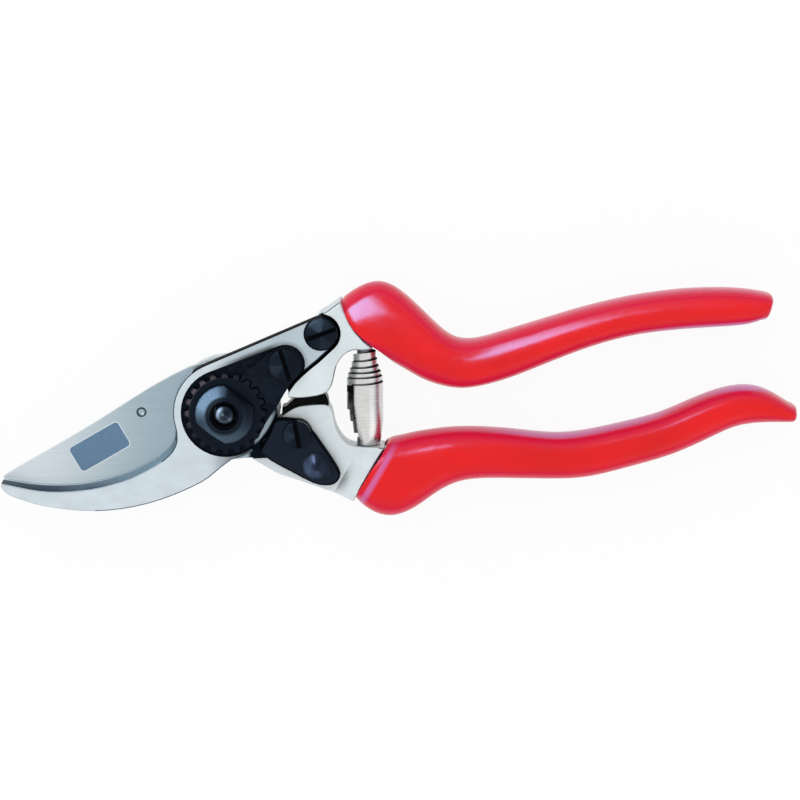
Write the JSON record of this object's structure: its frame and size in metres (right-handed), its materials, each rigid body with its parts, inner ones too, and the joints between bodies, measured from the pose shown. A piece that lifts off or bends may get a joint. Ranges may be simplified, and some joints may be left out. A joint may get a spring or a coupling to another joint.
{
  "type": "pruning shears",
  "caption": "Bypass pruning shears: a cutting blade slides past a curved hook blade, with a toothed adjusting nut, a volute spring, a thumb lock and soft-coated forged handles.",
  "frame": {"origin": "centre of the back face of the pivot bolt's head, on the pivot axis", "axes": "+Z along the pivot axis from the bolt's head to the nut, +X towards the handle ends, +Y towards the handle that carries the hook blade"},
  "size_m": [0.2159, 0.0653, 0.0223],
  "materials": {
    "forged_aluminium": "fine-blasted forging",
    "blade_steel": "finely ground along the blade",
    "hook_steel": "satin ground",
    "nut_steel": "blackened, slightly glossy",
    "segment_steel": "blackened",
    "black_screw_steel": "blackened",
    "bright_steel": "bright turned",
    "bush_bronze": "sintered",
    "lever_black": "black, slightly glossy",
    "stop_rubber": "matte",
    "grip_vinyl": "dipped vinyl, smooth",
    "spring_steel": "nickel-plated strip"
  },
  "bodies": {
    "upper_half": {"upper_handle_frame": "forged_aluminium", "upper_grip": "grip_vinyl", "hook_blade": "hook_steel", "tang_screw": "black_screw_steel", "adjusting_nut": "nut_steel", "toothed_segment": "segment_steel", "segment_screw": "black_screw_steel", "pivot_bolt": "bright_steel", "upper_spring_stud": "bright_steel", "volute_spring": "spring_steel"},
    "lower_half": {"lower_handle_frame": "forged_aluminium", "lower_grip": "grip_vinyl", "cutting_blade": "blade_steel", "blade_screw": "black_screw_steel", "blade_dowel": "bright_steel", "pivot_bush": "bush_bronze", "rubber_stop": "stop_rubber", "lower_spring_stud": "bright_steel", "lock_wave_washer": "bright_steel", "lock_screw": "black_screw_steel"},
    "lock": {"lock_lever": "lever_black"}
  },
  "joints": [
    {"name": "main_pivot", "type": "hinge", "parent": "upper_half", "child": "lower_half", "pos_m": [0, 0, 0.0105], "axis": [0, 0, -1], "range_deg": [0, 30], "deforming": ["volute_spring"]},
    {"name": "lock_pivot", "type": "hinge", "parent": "lower_half", "child": "lock", "pos_m": [0.0193, -0.006, 0.0142], "axis": [0, 0, 1], "range_deg": [0, 20]}
  ]
}
